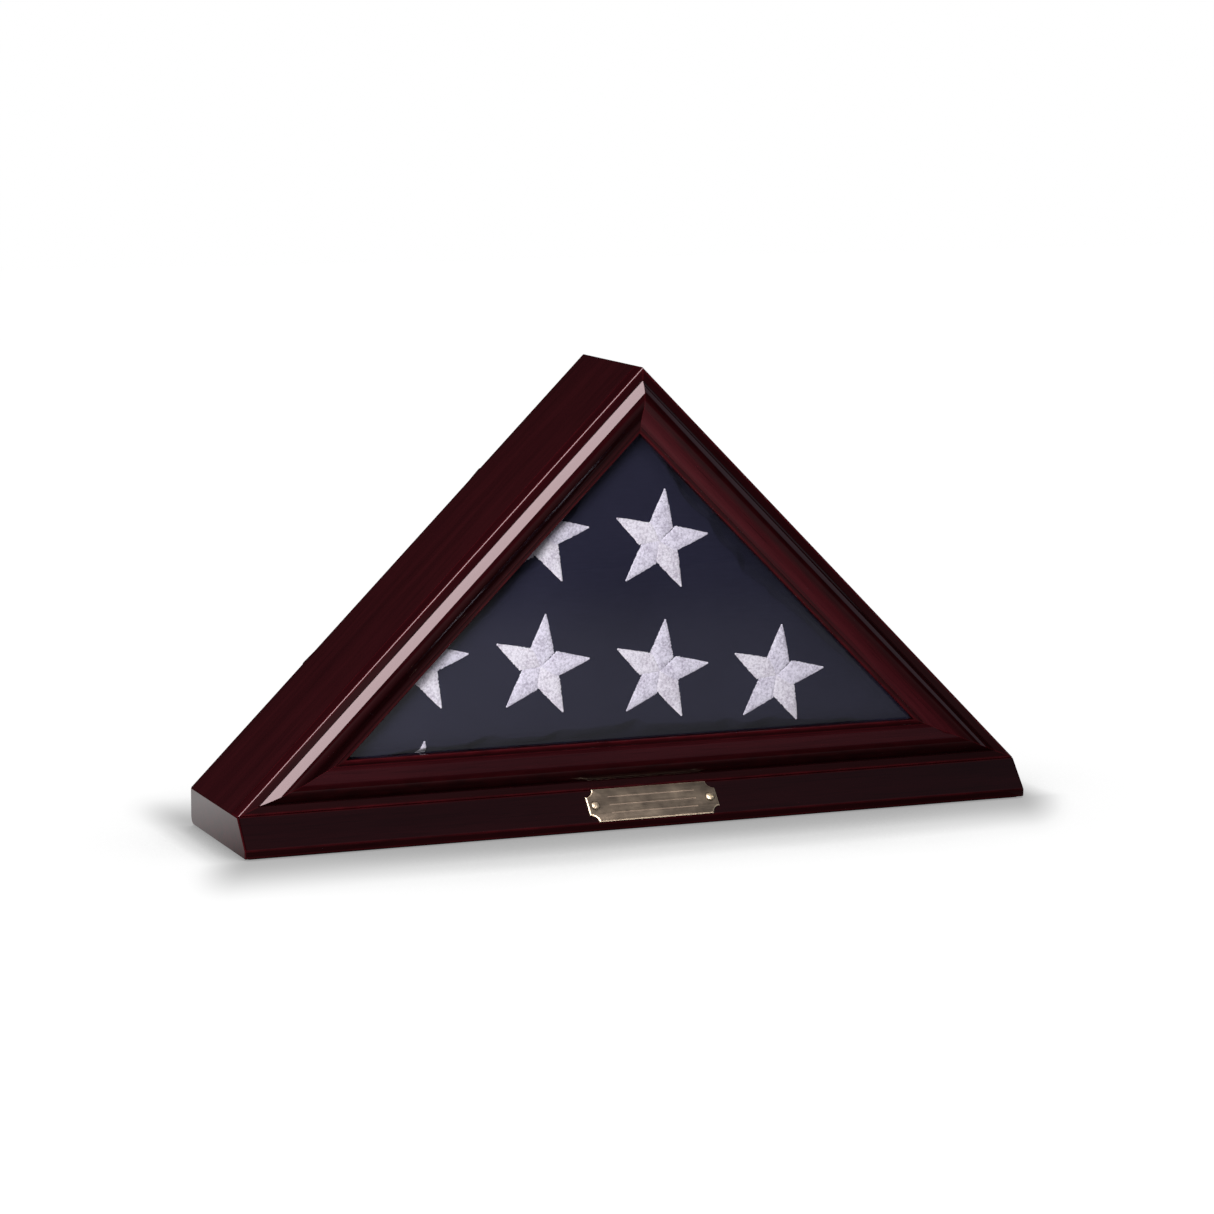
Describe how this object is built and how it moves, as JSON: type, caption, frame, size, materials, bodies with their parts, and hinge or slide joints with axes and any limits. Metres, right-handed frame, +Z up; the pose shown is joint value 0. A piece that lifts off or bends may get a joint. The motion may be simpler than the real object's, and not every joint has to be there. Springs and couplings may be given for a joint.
{
  "type": "folded flag display case",
  "caption": "Triangular lacquered wood case for a folded flag, with a glazed moulded front, a bevelled plinth with a nameplate, and a removable back panel held by turn buttons.",
  "frame": {"origin": "on the surface the case stands on, under the centre of its bounding box", "axes": "+Z up, +Y from the glazed front to the back panel, +X to the right as seen from the front"},
  "size_m": [0.61, 0.1374, 0.3324],
  "materials": {
    "lacquered_wood": "high-gloss dark cherry lacquer",
    "stained_wood": "matt dark stain",
    "aged_brass": "satin, aged",
    "steel": "zinc plated",
    "felt": "black felt",
    "navy_cotton": "woven cotton, folded",
    "white_thread": "satin-stitch embroidery",
    "glass": "clear",
    "hardboard": "painted black, smooth"
  },
  "bodies": {
    "case": {"bottom_board": "stained_wood", "bottom_front_moulding": "lacquered_wood", "bottom_glass_stop": "stained_wood", "felt_base_liner": "felt", "glass_pane": "glass", "left_front_moulding": "lacquered_wood", "left_glass_stop": "stained_wood", "left_side_board": "lacquered_wood", "nameplate": "aged_brass", "nameplate_screw_left": "aged_brass", "nameplate_screw_right": "aged_brass", "plinth": "lacquered_wood", "plinth_screw_1": "steel", "plinth_screw_2": "steel", "plinth_screw_3": "steel", "plinth_screw_4": "steel", "right_front_moulding": "lacquered_wood", "right_glass_stop": "stained_wood", "right_side_board": "lacquered_wood", "turn_button_screw_1": "aged_brass", "turn_button_screw_2": "aged_brass", "turn_button_screw_3": "aged_brass", "turn_button_screw_4": "aged_brass", "turn_button_screw_5": "aged_brass", "turn_button_screw_6": "aged_brass"},
    "folded_flag": {"folded_flag": "navy_cotton"},
    "back_panel": {"back_panel": "hardboard"},
    "turn_button_1": {"turn_button_1": "aged_brass"},
    "turn_button_2": {"turn_button_2": "aged_brass"},
    "turn_button_3": {"turn_button_3": "aged_brass"},
    "turn_button_4": {"turn_button_4": "aged_brass"},
    "turn_button_5": {"turn_button_5": "aged_brass"},
    "turn_button_6": {"turn_button_6": "aged_brass"}
  },
  "joints": [
    {"name": "back_panel_slide", "type": "slide", "parent": "case", "child": "back_panel", "axis": [0, 1, 0], "range_m": [0, 0.24]},
    {"name": "folded_flag_slide", "type": "slide", "parent": "case", "child": "folded_flag", "axis": [0, 1, 0], "range_m": [0, 0.12]},
    {"name": "turn_button_1_pivot", "type": "hinge", "parent": "case", "child": "turn_button_1", "pos_m": [-0.2156, 0.06509, 0.11124], "axis": [0, 1, 0], "range_deg": [0, 90]},
    {"name": "turn_button_2_pivot", "type": "hinge", "parent": "case", "child": "turn_button_2", "pos_m": [-0.07974, 0.06509, 0.2471], "axis": [0, -1, 0], "range_deg": [0, 90]},
    {"name": "turn_button_3_pivot", "type": "hinge", "parent": "case", "child": "turn_button_3", "pos_m": [0.07974, 0.06509, 0.2471], "axis": [0, 1, 0], "range_deg": [0, 90]},
    {"name": "turn_button_4_pivot", "type": "hinge", "parent": "case", "child": "turn_button_4", "pos_m": [0.2156, 0.06509, 0.11124], "axis": [0, -1, 0], "range_deg": [0, 90]},
    {"name": "turn_button_5_pivot", "type": "hinge", "parent": "case", "child": "turn_button_5", "pos_m": [0.13586, 0.06509, 0.0315], "axis": [0, 1, 0], "range_deg": [0, 90]},
    {"name": "turn_button_6_pivot", "type": "hinge", "parent": "case", "child": "turn_button_6", "pos_m": [-0.13586, 0.06509, 0.0315], "axis": [0, -1, 0], "range_deg": [0, 90]}
  ],
  "couplings": [
    {"joint": "folded_flag_slide", "follows": "back_panel_slide", "ratio": 0.5}
  ]
}
